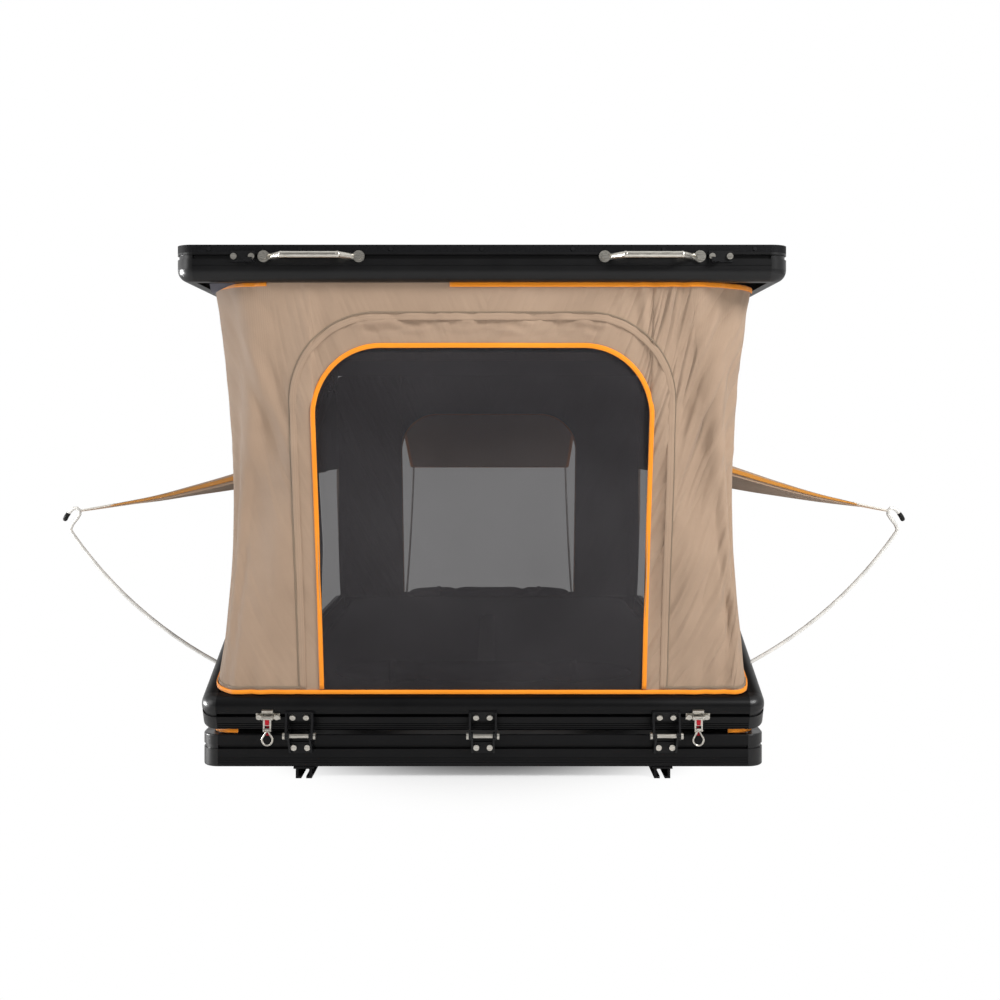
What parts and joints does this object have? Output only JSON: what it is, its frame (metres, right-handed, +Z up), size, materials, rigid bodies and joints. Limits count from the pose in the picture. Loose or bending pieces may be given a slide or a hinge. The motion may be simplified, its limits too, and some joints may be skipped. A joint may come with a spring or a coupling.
{
  "type": "roof top tent",
  "caption": "Hard-shell roof top tent that unfolds as a Z: floor tray, sloping middle ring and level roof shell joined by taupe canvas with orange piping.",
  "frame": {"origin": "centre of the tray in plan, on the plane of the undersides of the mounting rails", "axes": "+X to the right seen from the front, +Y from the front to the rear, +Z up"},
  "size_m": [2.0158, 2.9392, 1.1558],
  "materials": {
    "black_aluminium": "satin powder coat",
    "canvas": "matt coated canvas",
    "awning": "matt coated canvas, orange edged",
    "mesh": "fine black mesh",
    "piping": "orange woven tape",
    "foam": "grey cover",
    "panel": "sandwich panel",
    "black_sheet": "fine textured coat",
    "stainless": "plain stainless",
    "hardware": "satin black coat",
    "rod_steel": "drawn steel",
    "strut_black": "gloss black"
  },
  "bodies": {
    "base": {"mounting_rails": "black_aluminium", "tray_end_rails": "black_aluminium", "tray_side_rails": "black_aluminium", "tray_corners": "black_aluminium", "floor_panel": "panel", "mattress": "foam", "front_hinge_lower_leaves": "hardware", "front_hinge_pins": "stainless", "rear_latch_bases": "stainless", "lower_canvas": "canvas", "lower_mesh": "mesh", "rear_awning": "canvas", "tray_strut_brackets": "hardware", "tray_bolts": "stainless"},
    "middle": {"mid_end_rails": "black_aluminium", "mid_side_rails": "black_aluminium", "mid_corners": "black_aluminium", "front_hinge_upper_leaves": "hardware", "rear_hinge_lower_leaves": "hardware", "rear_hinge_pins": "stainless", "front_latch_bases": "stainless", "mid_keepers": "hardware", "mid_handles": "stainless", "upper_canvas": "canvas", "upper_mesh": "mesh", "front_trim": "piping", "side_awnings": "awning", "mid_strut_brackets": "hardware", "mid_bolts": "stainless"},
    "roof": {"lid_end_rails": "black_aluminium", "lid_side_rails": "black_aluminium", "lid_corners": "black_aluminium", "roof_skin": "black_sheet", "roof_panel": "panel", "roof_rivets": "stainless", "lid_handles": "stainless", "lid_keepers": "hardware", "rear_hinge_upper_leaves": "hardware", "lid_strut_brackets": "hardware", "lid_bolts": "stainless"},
    "front_lever_left_body": {"front_lever_left": "stainless"},
    "front_lever_right_body": {"front_lever_right": "stainless"},
    "rear_lever_left_body": {"rear_lever_left": "stainless"},
    "rear_lever_right_body": {"rear_lever_right": "stainless"},
    "front_bail_left_body": {"front_bail_left": "stainless"},
    "front_bail_right_body": {"front_bail_right": "stainless"},
    "rear_bail_left_body": {"rear_bail_left": "stainless"},
    "rear_bail_right_body": {"rear_bail_right": "stainless"},
    "side_rod_left_body": {"side_rod_left": "rod_steel"},
    "side_rod_right_body": {"side_rod_right": "rod_steel"},
    "rear_rod_left_body": {"rear_rod_left": "rod_steel"},
    "rear_rod_right_body": {"rear_rod_right": "rod_steel"},
    "lower_strut_tube_left_body": {"lower_strut_tube_left": "strut_black"},
    "lower_strut_tube_right_body": {"lower_strut_tube_right": "strut_black"},
    "lower_strut_rod_left_body": {"lower_strut_rod_left": "stainless"},
    "lower_strut_rod_right_body": {"lower_strut_rod_right": "stainless"},
    "upper_strut_tube_left_body": {"upper_strut_tube_left": "strut_black"},
    "upper_strut_tube_right_body": {"upper_strut_tube_right": "strut_black"},
    "upper_strut_rod_left_body": {"upper_strut_rod_left": "stainless"},
    "upper_strut_rod_right_body": {"upper_strut_rod_right": "stainless"}
  },
  "joints": [
    {"name": "mid_lift", "type": "hinge", "parent": "base", "child": "middle", "pos_m": [0, -1.14, 0.101], "axis": [-1, 0, 0], "range_deg": [0, 23.7], "stiffness_Nm_per_rad": 280, "springref_deg": -143.24, "deforming": ["lower_canvas", "lower_mesh", "rear_awning"]},
    {"name": "roof_lift", "type": "hinge", "parent": "middle", "child": "roof", "pos_m": [0, 0.91837, 1.08428], "axis": [1, 0, 0], "range_deg": [0, 23.7], "stiffness_Nm_per_rad": 220, "springref_deg": -143.24, "deforming": ["upper_canvas", "upper_mesh", "front_trim", "side_awnings"]},
    {"name": "lower_strut_tube_left_swing", "type": "hinge", "parent": "base", "child": "lower_strut_tube_left_body", "pos_m": [-0.565, -0.79, 0.078], "axis": [-1, 0, 0], "range_deg": [0, 38.89]},
    {"name": "lower_strut_rod_left_slide", "type": "slide", "parent": "lower_strut_tube_left_body", "child": "lower_strut_rod_left_body", "axis": [0, -0.7207, -0.6933], "range_m": [0, 0.0694]},
    {"name": "upper_strut_tube_left_swing", "type": "hinge", "parent": "middle", "child": "upper_strut_tube_left_body", "pos_m": [-0.565, 0.60713, 0.92254], "axis": [1, 0, 0], "range_deg": [0, 38.89]},
    {"name": "upper_strut_rod_left_slide", "type": "slide", "parent": "upper_strut_tube_left_body", "child": "upper_strut_rod_left_body", "axis": [0, 0.9385, -0.3451], "range_m": [0, 0.0694]},
    {"name": "front_lever_left_swing", "type": "hinge", "parent": "middle", "child": "front_lever_left_body", "pos_m": [-0.476, -1.14337, 0.14102], "axis": [-1, 0, 0], "range_deg": [0, 90]},
    {"name": "front_bail_left_swing", "type": "hinge", "parent": "front_lever_left_body", "child": "front_bail_left_body", "pos_m": [-0.476, -1.14337, 0.11502], "axis": [-1, 0, 0], "range_deg": [0, 70]},
    {"name": "rear_lever_left_swing", "type": "hinge", "parent": "base", "child": "rear_lever_left_body", "pos_m": [-0.476, 1.127, 0.072], "axis": [1, 0, 0], "range_deg": [0, 90]},
    {"name": "rear_bail_left_swing", "type": "hinge", "parent": "rear_lever_left_body", "child": "rear_bail_left_body", "pos_m": [-0.476, 1.127, 0.046], "axis": [1, 0, 0], "range_deg": [0, 70]},
    {"name": "side_rod_left_pull", "type": "slide", "parent": "middle", "child": "side_rod_left_body", "axis": [-0.891, 0, 0.454], "range_m": [0, 0.06]},
    {"name": "rear_rod_left_pull", "type": "slide", "parent": "base", "child": "rear_rod_left_body", "axis": [0, 0.8192, 0.5736], "range_m": [0, 0.06]},
    {"name": "lower_strut_tube_right_swing", "type": "hinge", "parent": "base", "child": "lower_strut_tube_right_body", "pos_m": [0.565, -0.79, 0.078], "axis": [-1, 0, 0], "range_deg": [0, 38.89]},
    {"name": "lower_strut_rod_right_slide", "type": "slide", "parent": "lower_strut_tube_right_body", "child": "lower_strut_rod_right_body", "axis": [0, -0.7207, -0.6933], "range_m": [0, 0.0694]},
    {"name": "upper_strut_tube_right_swing", "type": "hinge", "parent": "middle", "child": "upper_strut_tube_right_body", "pos_m": [0.565, 0.60713, 0.92254], "axis": [1, 0, 0], "range_deg": [0, 38.89]},
    {"name": "upper_strut_rod_right_slide", "type": "slide", "parent": "upper_strut_tube_right_body", "child": "upper_strut_rod_right_body", "axis": [0, 0.9385, -0.3451], "range_m": [0, 0.0694]},
    {"name": "front_lever_right_swing", "type": "hinge", "parent": "middle", "child": "front_lever_right_body", "pos_m": [0.476, -1.14337, 0.14102], "axis": [-1, 0, 0], "range_deg": [0, 90]},
    {"name": "front_bail_right_swing", "type": "hinge", "parent": "front_lever_right_body", "child": "front_bail_right_body", "pos_m": [0.476, -1.14337, 0.11502], "axis": [-1, 0, 0], "range_deg": [0, 70]},
    {"name": "rear_lever_right_swing", "type": "hinge", "parent": "base", "child": "rear_lever_right_body", "pos_m": [0.476, 1.127, 0.072], "axis": [1, 0, 0], "range_deg": [0, 90]},
    {"name": "rear_bail_right_swing", "type": "hinge", "parent": "rear_lever_right_body", "child": "rear_bail_right_body", "pos_m": [0.476, 1.127, 0.046], "axis": [1, 0, 0], "range_deg": [0, 70]},
    {"name": "side_rod_right_pull", "type": "slide", "parent": "middle", "child": "side_rod_right_body", "axis": [0.891, 0, 0.454], "range_m": [0, 0.06]},
    {"name": "rear_rod_right_pull", "type": "slide", "parent": "base", "child": "rear_rod_right_body", "axis": [0, 0.8192, 0.5736], "range_m": [0, 0.06]}
  ],
  "couplings": [
    {"joint": "lower_strut_tube_left_swing", "follows": "mid_lift", "ratio": 1.6323},
    {"joint": "lower_strut_rod_left_slide", "follows": "mid_lift", "m_per_rad": 0.16657},
    {"joint": "upper_strut_tube_left_swing", "follows": "roof_lift", "ratio": 1.6323},
    {"joint": "upper_strut_rod_left_slide", "follows": "roof_lift", "m_per_rad": 0.16657},
    {"joint": "lower_strut_tube_right_swing", "follows": "mid_lift", "ratio": 1.6323},
    {"joint": "lower_strut_rod_right_slide", "follows": "mid_lift", "m_per_rad": 0.16657},
    {"joint": "upper_strut_tube_right_swing", "follows": "roof_lift", "ratio": 1.6323},
    {"joint": "upper_strut_rod_right_slide", "follows": "roof_lift", "m_per_rad": 0.16657}
  ]
}
